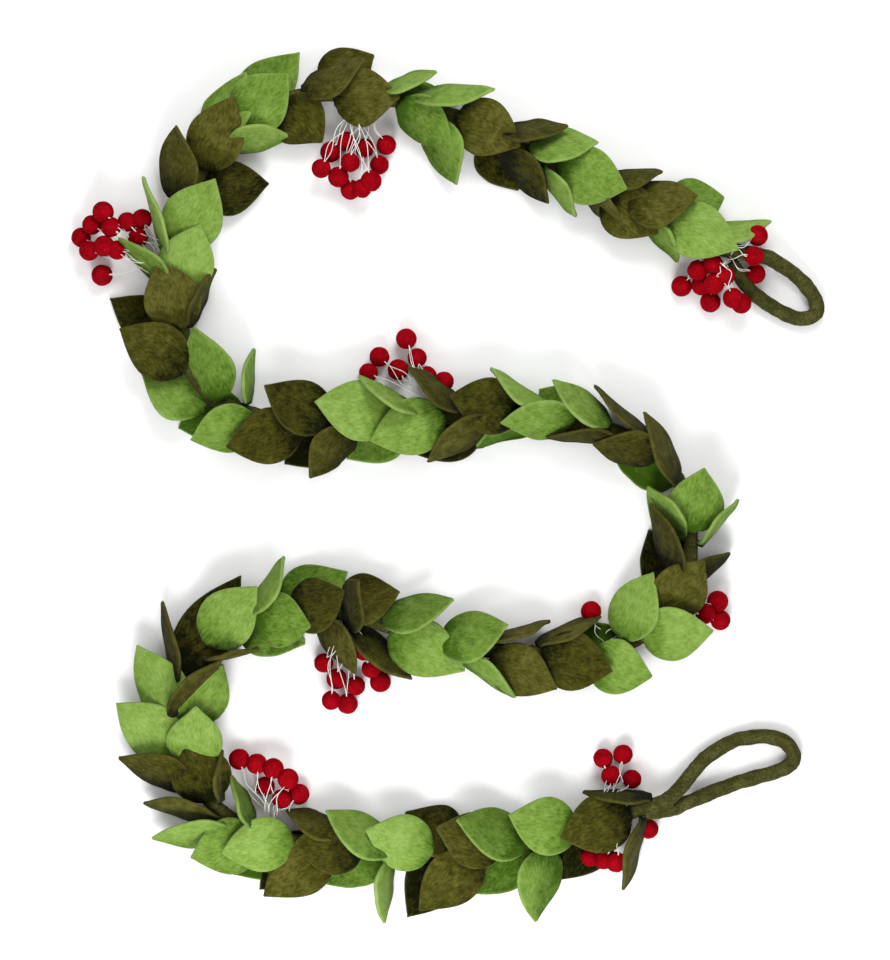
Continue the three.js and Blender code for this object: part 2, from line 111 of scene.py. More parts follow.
# Each leaf: root x, y, tip x, y on the sheet, seat round the rope, tip height in millimetres, roll
# of the blade about its own length in degrees (a left edge that drops is positive).
SPRAYS: list[SprayRow] = [
    (Felt.DARK, [
        (629, 816, 560, 836, Seat.TOP, 31, 0), (640, 810, 623, 891, Seat.LEFT, 17, 75),
        (655, 805, 583, 793, Seat.RIGHT, 12, -84), (605, 822, 554, 884, Seat.UNDER, -6, 0),
    ]),
    (Felt.LIGHT, [
        (578, 830, 508, 813, Seat.TOP, 31, -8), (526, 840, 456, 818, Seat.TOP, 32, -44),
        (543, 840, 536, 924, Seat.LEFT, 10, 42), (530, 842, 462, 896, Seat.UNDER, -6, 0),
    ]),
    (Felt.DARK, [
        (505, 846, 436, 826, Seat.TOP, 31, -10), (478, 848, 419, 912, Seat.UPPER_LEFT, 14, 15),
        (455, 850, 407, 921, Seat.UNDER, -6, 0), (460, 849, 405, 814, Seat.RIGHT, 8, -30),
    ]),
    (Felt.LIGHT, [
        (432, 850, 366, 828, Seat.TOP, 31, -5), (392, 850, 326, 809, Seat.TOP, 29, -48),
        (392, 850, 384, 924, Seat.LEFT, 18, 76), (385, 850, 316, 886, Seat.UNDER, -6, 0),
    ]),
    (Felt.DARK, [
        (362, 848, 295, 840, Seat.TOP, 31, 0), (332, 846, 263, 897, Seat.UPPER_LEFT, 16, 15),
        (322, 845, 258, 893, Seat.UNDER, -6, 0), (345, 847, 285, 812, Seat.RIGHT, 10, -70),
    ]),
    (Felt.LIGHT, [
        (293, 841, 222, 851, Seat.TOP, 31, 5), (262, 834, 191, 857, Seat.UPPER_LEFT, 24, 10),
        (240, 828, 151, 839, Seat.LEFT, 16, 64), (252, 831, 231, 775, Seat.UPPER_RIGHT, 22, -75),
        (290, 841, 232, 878, Seat.UNDER, -6, 0),
    ]),
    (Felt.DARK, [
        (209, 803, 188, 740, Seat.TOP, 27, 0), (227, 817, 142, 804, Seat.LEFT, 12, 66),
        (197, 785, 118, 758, Seat.LEFT, 18, 52), (217, 806, 222, 749, Seat.RIGHT, 20, -80),
    ]),
    (Felt.LIGHT, [
        (190, 768, 197, 705, Seat.TOP, 32, 0), (187, 752, 116, 703, Seat.UPPER_LEFT, 20, 12),
        (182, 722, 137, 645, Seat.UPPER_LEFT, 20, 25), (182, 724, 223, 664, Seat.UPPER_RIGHT, 22, -38),
        (189, 762, 128, 740, Seat.UNDER, -6, 0),
    ]),
    (Felt.DARK, [
        (184, 690, 162, 601, Seat.LEFT, 18, 76), (182, 718, 222, 658, Seat.UPPER_LEFT, 30, -62),
        (197, 655, 259, 648, Seat.RIGHT, 20, -87), (187, 676, 240, 576, Seat.UPPER_LEFT, 10, 10),
    ]),
    (Felt.LIGHT, [
        (207, 643, 258, 586, Seat.TOP, 31, 8), (255, 616, 312, 626, Seat.TOP, 31, -8),
        (250, 618, 285, 556, Seat.UPPER_LEFT, 26, 72), (240, 622, 304, 645, Seat.UNDER, -6, 0),
        (283, 611, 347, 572, Seat.LEFT, 12, 20),
    ]),
    (Felt.DARK, [
        (289, 611, 345, 590, Seat.TOP, 30, 25), (346, 616, 360, 579, Seat.RIGHT, 42, 55),
        (335, 611, 400, 592, Seat.LEFT, 20, 24), (322, 610, 356, 674, Seat.UPPER_RIGHT, 17, -58),
        (355, 616, 412, 680, Seat.RIGHT, 15, 65),
    ]),
    (Felt.LIGHT, [
        (380, 622, 454, 599, Seat.UPPER_LEFT, 29, 50), (393, 627, 465, 670, Seat.UPPER_RIGHT, 24, -12),
        (440, 642, 508, 624, Seat.TOP, 31, 30), (462, 647, 516, 698, Seat.RIGHT, 16, -75),
    ]),
    (Felt.DARK, [
        (490, 651, 557, 688, Seat.UPPER_RIGHT, 24, -25), (543, 653, 612, 670, Seat.TOP, 31, -8),
        (488, 648, 551, 622, Seat.LEFT, 9, 80), (535, 651, 602, 617, Seat.LEFT, 9, 84),
    ]),
    (Felt.LIGHT, [
        (590, 651, 652, 676, Seat.UPPER_RIGHT, 24, -12), (622, 646, 653, 572, Seat.UPPER_LEFT, 28, 30),
        (641, 637, 712, 630, Seat.TOP, 31, -20), (566, 652, 628, 634, Seat.UNDER, -4, 30),
    ]),
    (Felt.DARK, [
        (666, 617, 703, 560, Seat.TOP, 34, -10), (684, 583, 650, 503, Seat.UPPER_LEFT, 24, 68),
        (682, 590, 732, 553, Seat.LOWER_RIGHT, 6, -74), (682, 590, 650, 530, Seat.UNDER, -6, 0),
    ]),
    (Felt.LIGHT, [
        (690, 532, 703, 468, Seat.TOP, 31, -5), (691, 545, 739, 499, Seat.RIGHT, 18, -80),
        (691, 540, 648, 486, Seat.LEFT, 20, 68), (680, 478, 612, 449, Seat.UNDER, -4, 40),
    ]),
    (Felt.DARK, [
        (660, 457, 592, 444, Seat.TOP, 27, 60), (680, 482, 643, 412, Seat.TOP, 29, -62),
        (654, 451, 594, 385, Seat.RIGHT, 18, -78), (628, 437, 546, 437, Seat.LEFT, 18, 84),
    ]),
    (Felt.LIGHT, [
        (608, 430, 552, 380, Seat.UPPER_RIGHT, 27, -62), (573, 424, 500, 423, Seat.TOP, 29, 46),
        (556, 420, 490, 368, Seat.RIGHT, 18, -76), (550, 419, 473, 448, Seat.UNDER, 4, 58),
        (585, 425, 540, 388, Seat.UNDER, -6, 0),
    ]),
    (Felt.DARK, [
        (520, 414, 449, 396, Seat.TOP, 31, -8), (492, 412, 427, 462, Seat.UPPER_LEFT, 18, 60),
        (465, 415, 408, 368, Seat.UPPER_RIGHT, 27, -68), (475, 414, 412, 453, Seat.UNDER, -6, 0),
    ]),
    (Felt.LIGHT, [
        (446, 417, 370, 441, Seat.TOP, 31, 8), (392, 420, 315, 402, Seat.TOP, 30, -5),
        (420, 418, 358, 376, Seat.UPPER_RIGHT, 26, -74), (402, 419, 346, 459, Seat.UNDER, -6, 0),
    ]),
    (Felt.DARK, [
        (335, 420, 265, 386, Seat.TOP, 30, -12), (300, 419, 227, 447, Seat.UPPER_LEFT, 29, 10),
        (355, 420, 309, 478, Seat.LEFT, 11, 50), (340, 420, 283, 464, Seat.UNDER, -6, 0),
    ]),
    (Felt.LIGHT, [
        (218, 400, 195, 327, Seat.TOP, 31, 34), (248, 412, 254, 348, Seat.RIGHT, 20, -82),
        (258, 414, 191, 440, Seat.UPPER_LEFT, 24, 36), (212, 396, 140, 374, Seat.LEFT, 6, -22),
        (240, 411, 176, 428, Seat.UNDER, -6, 0),
    ]),
    (Felt.DARK, [
        (194, 368, 120, 329, Seat.UPPER_LEFT, 24, 12), (181, 330, 159, 262, Seat.TOP, 31, 5),
        (184, 345, 107, 297, Seat.UNDER, -6, 0), (180, 328, 216, 268, Seat.RIGHT, 18, -78),
    ]),
    (Felt.LIGHT, [
        (175, 290, 202, 225, Seat.TOP, 31, -8), (177, 248, 217, 181, Seat.TOP, 37, -8),
        (175, 257, 145, 178, Seat.LEFT, 34, 74), (172, 284, 119, 238, Seat.LEFT, 24, 66),
    ]),
    (Felt.DARK, [
        (203, 168, 234, 98, Seat.TOP, 31, 5), (186, 205, 177, 126, Seat.UPPER_LEFT, 26, 52),
        (192, 190, 268, 182, Seat.RIGHT, 8, -10),
    ]),
    (Felt.LIGHT, [
        (236, 125, 289, 76, Seat.TOP, 32, 5), (245, 116, 299, 51, Seat.LEFT, 12, 12),
        (218, 143, 246, 72, Seat.UPPER_LEFT, 16, 32), (222, 146, 290, 135, Seat.RIGHT, 16, -70),
    ]),
    (Felt.DARK, [
        (280, 101, 322, 142, Seat.UPPER_RIGHT, 18, -15), (334, 94, 400, 99, Seat.UPPER_RIGHT, 30, -5),
        (303, 96, 366, 60, Seat.UPPER_LEFT, 28, 46), (322, 95, 374, 54, Seat.LEFT, 14, 10),
    ]),
    (Felt.LIGHT, [
        (382, 98, 437, 72, Seat.LEFT, 22, 76), (412, 104, 495, 91, Seat.UPPER_LEFT, 29, 64),
        (400, 101, 452, 146, Seat.UPPER_RIGHT, 22, -48), (432, 109, 457, 184, Seat.RIGHT, 13, -48),
        (400, 101, 455, 118, Seat.UNDER, -6, 0),
    ]),
    (Felt.DARK, [
        (456, 117, 520, 148, Seat.TOP, 31, -8), (498, 137, 568, 127, Seat.UPPER_LEFT, 27, 70),
        (506, 141, 549, 203, Seat.RIGHT, 15, -62), (492, 134, 519, 188, Seat.UNDER, -6, 0),
    ]),
    (Felt.LIGHT, [
        (524, 150, 598, 144, Seat.UPPER_LEFT, 30, 46), (555, 167, 626, 191, Seat.TOP, 36, -6),
        (542, 160, 577, 216, Seat.RIGHT, 15, -80), (548, 163, 608, 160, Seat.UNDER, -6, 0),
    ]),
    (Felt.DARK, [
        (602, 190, 663, 172, Seat.LEFT, 20, 72), (627, 201, 697, 197, Seat.TOP, 31, 36),
        (606, 192, 657, 235, Seat.UPPER_RIGHT, 24, -12), (590, 184, 620, 228, Seat.RIGHT, 13, -76),
    ]),
    (Felt.LIGHT, [
        (666, 219, 737, 251, Seat.TOP, 32, -2), (652, 212, 679, 261, Seat.RIGHT, 8, -76),
        (665, 219, 725, 197, Seat.LEFT, 16, 15), (702, 237, 772, 221, Seat.LEFT, 18, 67),
    ]),
]

# Each berry cluster: the sheet point and the side of the rope where its threads are sewn on, then
# the berries' sheet x, y and the height of each one's underside in millimetres.
CLUSTERS: list[ClusterRow] = [
    ((612, 820), Seat.LOWER_RIGHT, [
        (604, 760, 0), (624, 756, 0), (612, 777, 0), (633, 781, 0),
    ]),
    ((633, 813), Seat.LOWER_LEFT, [
        (591, 859, 0), (604, 860, 0), (616, 862, 0), (650, 831, 0),
    ]),
    ((264, 835), Seat.LOWER_RIGHT, [
        (238, 761, 0), (256, 765, 0), (273, 769, 0), (288, 779, 0), (298, 796, 0), (264, 788, 0),
        (281, 800, 0),
    ]),
    ((345, 614), Seat.LOWER_RIGHT, [
        (323, 664, 0), (336, 680, 0), (331, 701, 0), (355, 687, 0), (347, 705, 0), (364, 651, 0),
        (371, 669, 0), (380, 683, 0),
    ]),
    ((668, 614), Seat.LOWER_RIGHT, [
        (719, 602, 0), (706, 614, 0), (722, 621, 0),
    ]),
    ((608, 649), Seat.LOWER_LEFT, [
        (592, 612, 0), (620, 617, 0),
    ]),
    ((430, 418), Seat.RIGHT, [
        (406, 338, 0), (379, 356, 0), (417, 357, 0), (368, 372, 0), (398, 369, 0), (427, 375, 0),
        (444, 381, 0),
    ]),
    ((175, 272), Seat.LOWER_LEFT, [
        (103, 212, 0), (91, 224, 0), (111, 227, 0), (79, 236, 0), (88, 250, 0), (104, 246, 0),
        (100, 274, 0), (127, 222, 0), (142, 219, 0), (117, 250, 0), (138, 238, 0),
    ]),
    ((358, 96), Seat.RIGHT, [
        (330, 150, 0), (321, 168, 0), (338, 176, 0), (350, 162, 0), (350, 188, 0), (371, 181, 0),
        (379, 163, 0), (386, 143, 0), (364, 146, 0), (346, 140, 0), (362, 188, 0),
    ]),
    ((722, 248), Seat.RIGHT, [
        (683, 285, 0), (698, 270, 0), (713, 264, 0), (714, 284, 0), (712, 301, 0), (733, 298, 0),
        (742, 303, 8), (757, 273, 4), (753, 257, 21), (757, 236, 17), (703, 284, 0), (725, 276, 0),
    ]),
]


def on_sheet(x: float, y: float, height: float = 0.0) -> np.ndarray:
    """A sheet point, with its height in millimetres, in metres of the garland's frame."""
    return np.array([(x - SHEET_MIDDLE[0]) * GRID, (SHEET_MIDDLE[1] - y) * GRID, height * MM])


def unit(vector: np.ndarray) -> np.ndarray:
    """The vector, or each row of vectors, at length one."""
    return vector / np.maximum(np.linalg.norm(vector, axis=-1, keepdims=True), TINY)


def smoothstep(low: float, high: float, value: np.ndarray) -> np.ndarray:
    """A smooth rise from 0 at low to 1 at high."""
    share = np.clip((value - low) / (high - low), 0.0, 1.0)
    return share * share * (3.0 - 2.0 * share)


def opaque(colour: Colour) -> tuple[float, float, float, float]:
    """The colour with full alpha."""
    return (*colour, 1.0)


class Sock:
    """An output socket that takes part in sums."""

    def __init__(self, graph: "Graph", socket: bpy.types.NodeSocket) -> None:
        """Keeps the socket and the graph that it belongs to."""
        self.graph = graph
        self.socket = socket

    def _sum(self, operation: str, first: "Value", second: "Value") -> "Sock":
        """One maths node of two values."""
        return self.graph.node("ShaderNodeMath", {"operation": operation}, {0: first, 1: second})

    def __add__(self, other: "Value") -> "Sock":
        """This plus the other."""
        return self._sum("ADD", self, other)

    def __radd__(self, other: "Value") -> "Sock":
        """The other plus this."""
        return self._sum("ADD", other, self)

    def __sub__(self, other: "Value") -> "Sock":
        """This less the other."""
        return self._sum("SUBTRACT", self, other)

    def __rsub__(self, other: "Value") -> "Sock":
        """The other less this."""
        return self._sum("SUBTRACT", other, self)

    def __mul__(self, other: "Value") -> "Sock":
        """This times the other."""
        return self._sum("MULTIPLY", self, other)

    def __rmul__(self, other: "Value") -> "Sock":
        """The other times this."""
        return self._sum("MULTIPLY", other, self)


Value = Union[Sock, float, int, tuple, bpy.types.Material]


class Graph:
    """A node tree, written as code."""

    def __init__(self, tree: bpy.types.NodeTree) -> None:
        """Starts from the tree as it is."""
        self.tree = tree

    def node(self, kind: str, settings: dict[str, Any], inputs: dict[Any, Value], output: Any = 0) -> Sock:
        """Adds a node.

        Args:
            kind: The node's type name.
            settings: The node's own options, with a ramp's stops under "stops".
            inputs: Values or sockets by the input's name or place.
            output: The output's name or place.

        Returns:
            The output, ready for sums.
        """
        made = self.tree.nodes.new(kind)
        for name, value in settings.items():
            if name == "stops":
                self._set_stops(made.color_ramp, value)
            else:
                setattr(made, name, value)
        for key, value in inputs.items():
            if isinstance(value, Sock):
                self.tree.links.new(value.socket, made.inputs[key])
            else:
                made.inputs[key].default_value = value
        return Sock(self, made.outputs[output] if len(made.outputs) else None)

    def noise(self, vector: Sock, scale: float, detail: float) -> Sock:
        """One layer of noise."""
        return self.node("ShaderNodeTexNoise", {}, {"Vector": vector, "Scale": scale, "Detail": detail})

    def blend(self, share: Value, first: Value, second: Value) -> Sock:
        """A mix of two colours, by the socket places of a colour mix."""
        return self.node("ShaderNodeMix", {"data_type": "RGBA"}, {0: share, 6: first, 7: second}, output=2)

    @staticmethod
    def _set_stops(ramp: bpy.types.ColorRamp, stops: list[Stop]) -> None:
        """Gives a ramp its stops.

        Args:
            ramp: A new ramp, with only its first and last stop.
            stops: Each stop's place and colour, in order.
        """
        for place, _ in stops[1:-1]:
            ramp.elements.new(place)
        for element, (place, colour) in zip(ramp.elements, stops):
            element.position = place
            element.color = opaque(colour)


class ShapeGraph(Graph):
    """A geometry tree with named inputs, applied to an object and turned into a plain mesh."""

    def __init__(self, name: str) -> None:
        """Makes an empty tree that passes on one geometry.

        Args:
            name: The tree's name.
        """
        super().__init__(bpy.data.node_groups.new(name, "GeometryNodeTree"))
        self.sockets: dict[str, str] = {}
        self.entry = self.tree.nodes.new("NodeGroupInput")
        self.geometry = self.take("Geometry", "NodeSocketGeometry")

    def take(self, name: str, kind: str = "NodeSocketFloat") -> Sock:
        """Adds a named input.

        Args:
            name: The input's name.
            kind: Its socket type.

        Returns:
            The input's socket inside the tree.
        """
        item = self.tree.interface.new_socket(name=name, in_out="INPUT", socket_type=kind)
        self.sockets[name] = item.identifier
        return Sock(self, self.entry.outputs[name])

    def give(self, geometry: Sock, material: Sock) -> None:
        """Ends the tree: instances made real, the material set.

        Args:
            geometry: The finished geometry.
            material: The material that it takes.
        """
        self.tree.interface.new_socket(name="Geometry", in_out="OUTPUT", socket_type="NodeSocketGeometry")
        real = self.node("GeometryNodeRealizeInstances", {}, {"Geometry": geometry})
        smooth = self.node("GeometryNodeSetShadeSmooth", {}, {"Geometry": real})
        dressed = self.node("GeometryNodeSetMaterial", {}, {"Geometry": smooth, "Material": material})
        self.node("NodeGroupOutput", {}, {"Geometry": dressed})

    def apply(self, source: bpy.types.Object, values: dict[str, Value]) -> bpy.types.Object:
        """Runs the tree on an object.

        Args:
            source: The object that gives the geometry; it is used up.
            values: The named inputs.

        Returns:
            A plain mesh object of the same name.
        """
        modifier = source.modifiers.new(self.tree.name, "NODES")
        modifier.node_group = self.tree
        for name, value in values.items():
            modifier[self.sockets[name]] = value
        bpy.context.view_layer.update()
        evaluated = source.evaluated_get(bpy.context.evaluated_depsgraph_get())
        mesh = bpy.data.meshes.new_from_object(evaluated)
        name = source.name
        source.modifiers.remove(modifier)
        bpy.data.objects.remove(source)
        mesh.name = name
        return link(bpy.data.objects.new(name, mesh))


def link(obj: bpy.types.Object) -> bpy.types.Object:
    """Puts an object in the scene."""
    bpy.context.scene.collection.objects.link(obj)
    return obj


def curves_object(name: str, lines: list[np.ndarray]) -> bpy.types.Object:
    """Makes a curve object of open lines.

    Args:
        name: The object's name.
        lines: The points of each line.

    Returns:
        The object, in the scene.
    """
    data = bpy.data.curves.new(name, "CURVE")
    data.dimensions = "3D"
    for points in lines:
        spline = data.splines.new("POLY")
        spline.points.add(len(points) - 1)
        spline.points.foreach_set("co", np.hstack([points, np.ones((len(points), 1))]).ravel())
    return link(bpy.data.objects.new(name, data))


def sweep_graph() -> ShapeGraph:
    """Makes the tree that sweeps a lumpy round section along each line.

    Returns:
        The tree, with inputs for the section's sizes, its lumps and its material.
    """
    graph = ShapeGraph("sweep")
    radius = graph.take("Radius")
    step = graph.take("Step")
    sides = graph.take("Sides", "NodeSocketInt")
    lump = graph.take("Lump")
    lump_scale = graph.take("Lump Scale")
    material = graph.take("Material", "NodeSocketMaterial")
    even = graph.node(
        "GeometryNodeResampleCurve", {"mode": "LENGTH"}, {"Curve": graph.geometry, "Length": step}
    )
    ring = graph.node(
        "GeometryNodeCurvePrimitiveCircle", {"mode": "RADIUS"}, {"Resolution": sides, "Radius": radius}
    )
    tube = graph.node(
        "GeometryNodeCurveToMesh", {}, {"Curve": even, "Profile Curve": ring, "Fill Caps": True}
    )
    graph.give(lumpy(graph, tube, lump, lump_scale), material)
    return graph


def ball_graph() -> ShapeGraph:
    """Makes the tree that puts a felted ball on each point.

    Returns:
        The tree, with inputs for the balls' sizes, their lumps, the seed and the material.
    """
    graph = ShapeGraph("balls")
    radius = graph.take("Radius")
    smallest = graph.take("Smallest")
    largest = graph.take("Largest")
    detail = graph.take("Detail", "NodeSocketInt")
    lump = graph.take("Lump")
    lump_scale = graph.take("Lump Scale")
    seed = graph.take("Seed", "NodeSocketInt")
    material = graph.take("Material", "NodeSocketMaterial")
    ball = graph.node("GeometryNodeMeshIcoSphere", {}, {"Radius": radius, "Subdivisions": detail})
    # The limits and the result have the places of the node's sockets for plain numbers.
    size = graph.node(
        "FunctionNodeRandomValue", {"data_type": "FLOAT"}, {2: smallest, 3: largest, "Seed": seed}, output=1
    )
    placed = graph.node(
        "GeometryNodeInstanceOnPoints", {}, {"Points": graph.geometry, "Instance": ball, "Scale": size}
    )
    real = graph.node("GeometryNodeRealizeInstances", {}, {"Geometry": placed})
    graph.give(lumpy(graph, real, lump, lump_scale), material)
    return graph


def lumpy(graph: Graph, mesh: Sock, lump: Sock, scale: Sock) -> Sock:
    """Moves a surface in and out along its normals by soft noise.

    Args:
        graph: The tree that holds the surface.
        mesh: The surface.
        lump: How far the noise moves it in all.
        scale: How closely the lumps follow each other.

    Returns:
        The lumpy surface.
    """
    noise = graph.node(
        "ShaderNodeTexNoise", {}, {"Scale": scale, "Detail": LUMP_DETAIL, "Roughness": LUMP_ROUGHNESS}
    )
    normal = graph.node("GeometryNodeInputNormal", {}, {})
    push = graph.node(
        "ShaderNodeVectorMath", {"operation": "SCALE"}, {0: normal, "Scale": (noise - NOISE_MIDDLE) * lump}
    )
    return graph.node("GeometryNodeSetPosition", {}, {"Geometry": mesh, "Offset": push})


class Grain(Enum):
    """Where a felt's fibres take their direction from."""

    LEAF = "leaf"
    ROUND = "round"


@dataclass(frozen=True)
class Layer:
    """One layer of noise in a felt: its scale and detail, and its shares of the tone and the relief."""

    scale: float
    detail: float
    tone: float
    relief: float = 0.0


@dataclass(frozen=True)
class Finish:
    """A material under its own name."""

    name: str

    def material(self) -> bpy.types.Material:
        """Builds the material.

        Returns:
            The material, with this finish's shader.
        """
        made = bpy.data.materials.new(self.name)
        made.use_nodes = True
        made.node_tree.nodes.clear()
        graph = Graph(made.node_tree)
        graph.node("ShaderNodeOutputMaterial", {}, {"Surface": self.surface(graph)})
        return made

    def surface(self, graph: Graph) -> Sock:
        """The shader, which each finish writes for itself."""
        raise NotImplementedError


@dataclass(frozen=True)
class FeltFinish(Finish):
    """Wool felt: mottled, fibrous, darkened by a leaf's painted shade, with a highlight painted along cut
    edges, and quite without shine.
    """

    # The ramp's dark end: the mottle's darkest fibres, and the colour that the painted shade pushes the tone
    # towards.
    shade: Colour
    middle: Colour
    light: Colour
    rim: Colour
    grain: Grain = Grain.LEAF
    mottle: Layer = Layer(160.0, 3.0, tone=0.35)
    fibre: Layer = Layer(700.0, 5.0, tone=0.4, relief=0.6)
    speck: Layer = Layer(2000.0, 2.0, tone=0.25, relief=0.4)
    fibre_stretch: tuple[float, float, float] = (1.0, 0.4, 1.0)
    tone_gain: float = 2.6
    tone_places: tuple[float, float, float] = (0.0, 0.5, 0.88)
    contrast: float = 1.0
    rim_highlight_share: float = 0.45
    bump: float = 0.35 * MM
    bump_strength: float = 0.7
    roughness: float = 0.95
    specular: float = 0.05
    sheen: float = 0.02
    sheen_roughness: float = 0.6

    def surface(self, graph: Graph) -> Sock:
        """Writes the felt's shader.

        Args:
            graph: The material's graph.

        Returns:
            The shader's output.
        """
        place = graph.node("ShaderNodeTexCoord", {}, {}, output="Object")
        mottle = graph.noise(place, self.mottle.scale, self.mottle.detail)
        fibre = graph.noise(self._streaks(graph, place), self.fibre.scale, self.fibre.detail)
        speck = graph.noise(place, self.speck.scale, self.speck.detail)
        # Painted shade from the leaf (its base and low points darkened), plus each leaf's random tone.
        tint = graph.node("ShaderNodeAttribute", {"attribute_name": "tint"}, {}, output="Fac")
        # Nearness to the cut edge, where a lighter colour is mixed in as a painted highlight.
        edge = graph.node("ShaderNodeAttribute", {"attribute_name": "rim"}, {}, output="Fac")
        mixed = self.mottle.tone * mottle + self.fibre.tone * fibre + self.speck.tone * speck
        tone = (mixed - NOISE_MIDDLE) * (self.tone_gain * self.contrast) + NOISE_MIDDLE + tint
        stops = list(zip(self.tone_places, (self.shade, self.middle, self.light)))
        colour = graph.node("ShaderNodeValToRGB", {"stops": stops}, {"Fac": tone})
        relief = graph.node("ShaderNodeBump", {}, {
            "Strength": self.bump_strength,
            "Distance": self.bump,
            "Height": fibre * self.fibre.relief + speck * self.speck.relief,
        })
        return graph.node("ShaderNodeBsdfPrincipled", {}, {
            "Base Color": graph.blend(edge * self.rim_highlight_share, colour, opaque(self.rim)),
            "Normal": relief,
            "Roughness": self.roughness,
            "Specular IOR Level": self.specular,
            "Sheen Weight": self.sheen,
            "Sheen Roughness": self.sheen_roughness,
        })

    def _streaks(self, graph: Graph, place: Sock) -> Sock:
        """Finds where the fibres lie.

        Args:
            graph: The material's graph.
            place: The piece's own coordinates.

        Returns:
            Coordinates drawn out along a leaf, or the piece's own for round felt.
        """
        if self.grain is Grain.ROUND:
            return place
        flat = graph.node("ShaderNodeUVMap", {"uv_map": "felt"}, {})
        return graph.node("ShaderNodeMapping", {}, {"Vector": flat, "Scale": self.fibre_stretch})


@dataclass(frozen=True)
class ThreadFinish(Finish):
    """White cotton thread with a fine twist."""

    pale: Colour = (0.90, 0.88, 0.84)
    grey: Colour = (0.62, 0.60, 0.55)
    twist_scale: float = 1800.0
    twist_detail: float = 2.0
    bump: float = 0.1 * MM
    bump_strength: float = 0.4
    roughness: float = 0.8
    specular: float = 0.2

    def surface(self, graph: Graph) -> Sock:
        """Writes the thread's shader.

        Args:
            graph: The material's graph.

        Returns:
            The shader's output.
        """
        place = graph.node("ShaderNodeTexCoord", {}, {}, output="Object")
        strand = graph.noise(place, self.twist_scale, self.twist_detail)
        relief = graph.node(
            "ShaderNodeBump", {}, {"Strength": self.bump_strength, "Distance": self.bump, "Height": strand}
        )
        return graph.node("ShaderNodeBsdfPrincipled", {}, {
            "Base Color": graph.blend(strand, opaque(self.grey), opaque(self.pale)),
            "Normal": relief,
            "Roughness": self.roughness,
            "Specular IOR Level": self.specular,
        })


@dataclass(frozen=True)
class PaintFinish(Finish):
    """Plain matt paint."""

    colour: Colour = (0.94, 0.94, 0.94)
    roughness: float = 0.9
    specular: float = 0.1

    def surface(self, graph: Graph) -> Sock:
        """Writes a shader of one even colour.

        Args:
            graph: The material's graph.

        Returns:
            The shader's output.
        """
        return graph.node("ShaderNodeBsdfPrincipled", {}, {
            "Base Color": opaque(self.colour),
            "Roughness": self.roughness,
            "Specular IOR Level": self.specular,
        })


class Line:
    """A smooth line through a route's points, measured along its own length."""

    def __init__(self, points: list[np.ndarray], samples: int = 24) -> None:
        """Draws a Catmull-Rom curve through the points.

        Args:
            points: The route.
            samples: How many steps there are from one point to the next.
        """
        route = np.array([2 * points[0] - points[1], *points, 2 * points[-1] - points[-2]])
        share = np.linspace(0.0, 1.0, samples, endpoint=False)[:, None]
        spans = [self._span(route[i:i + 4], share) for i in range(len(points) - 1)]
        self.points = np.vstack([*spans, route[-2:-1]])
        steps = np.linalg.norm(np.diff(self.points, axis=0), axis=1)
        self.stations = np.concatenate([[0.0], np.cumsum(steps)])
        self.length = float(self.stations[-1])

    @staticmethod
    def _span(four: np.ndarray, share: np.ndarray) -> np.ndarray:
        """Draws the curve between the middle two of four points.

        Args:
            four: The points.
            share: The places between the middle two, from 0 to 1.

        Returns:
            The curve's points at those places.
        """
        before, start, end, after = four
        out, back = 0.5 * (end - before), 0.5 * (after - start)
        square, cube = share**2, share**3
        return ((2 * cube - 3 * square + 1) * start + (cube - 2 * square + share) * out
                + (3 * square - 2 * cube) * end + (cube - square) * back)

    def at(self, station: float) -> np.ndarray:
        """The point at a distance along the line."""
        return np.array([np.interp(station, self.stations, self.points[:, k]) for k in range(3)])

    def run(self, station: float, reach: float = 3 * MM) -> np.ndarray:
        """The line's direction at a distance along it."""
        return unit(self.at(station + reach) - self.at(station - reach))

    def station_of(self, point: np.ndarray) -> float:
        """How far along the line its nearest sample to a point lies."""
        return float(self.stations[np.argmin(np.linalg.norm(self.points - point, axis=1))])


@dataclass
class Rope:
    """The felted rope that carries everything."""

    radius: float = 4.8 * MM
    height_mm: float = 17.0
    step: float = 2.2 * MM
    sides: int = 20
    lump: float = 2.6 * MM
    lump_scale: float = 140.0
    line: Line = field(init=False)

    def __post_init__(self) -> None:
        """Draws the rope's line."""
        self.line = Line([on_sheet(x, y, self.height_mm) for x, y in ROPE_ROUTE])

    def seat(self, x: float, y: float, seat: Seat, away: float) -> tuple[np.ndarray, np.ndarray]:
        """Finds a place beside the rope.

        Args:
            x: The sheet's x.
            y: The sheet's y.
            seat: The side of the rope.
            away: The distance from the rope's middle.

        Returns:
            The point and the rope's run there.
        """
        station = self.line.station_of(on_sheet(x, y, self.height_mm))
        run = self.line.run(station)
        turn = math.radians(seat.value)
        outward = np.array([-run[1] * math.sin(turn), run[0] * math.sin(turn), math.cos(turn)])
        return self.line.at(station) + away * outward, run

    def build(self, sweep: ShapeGraph, felt: bpy.types.Material) -> list[bpy.types.Object]:
        """Makes the rope and its two loops."""
        loops = {name: Line([on_sheet(*row) for row in route]) for name, route in LOOP_ROUTES.items()}
        return [self._tube(name, line, sweep, felt) for name, line in {"rope": self.line, **loops}.items()]

    def _tube(self, node: str, line: Line, sweep: ShapeGraph, felt: bpy.types.Material) -> bpy.types.Object:
        """Makes one stretch of rope in place of its solid.

        Args:
            node: The solid.
            line: The middle of the rope.
            sweep: The tree that sweeps it.
            felt: Its material.

        Returns:
            The finished piece.
        """
        piece = sweep.apply(curves_object(f"felted_{node}", [line.points]), {
            "Radius": self.radius, "Step": self.step, "Sides": self.sides, "Lump": self.lump,
            "Lump Scale": self.lump_scale, "Material": felt,
        })
        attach(piece, "root")
        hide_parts(node)
        return piece


@dataclass(frozen=True)
class Shell:
    """One leaf's mesh, with each point's place on the flat felt, its nearness to the cut edge where a
    highlight is painted, its painted shade, and the leaf's cut size.
    """

    points: np.ndarray
    faces: np.ndarray
    flat: np.ndarray
    rim: np.ndarray
    tint: np.ndarray
    length: float
    area: float


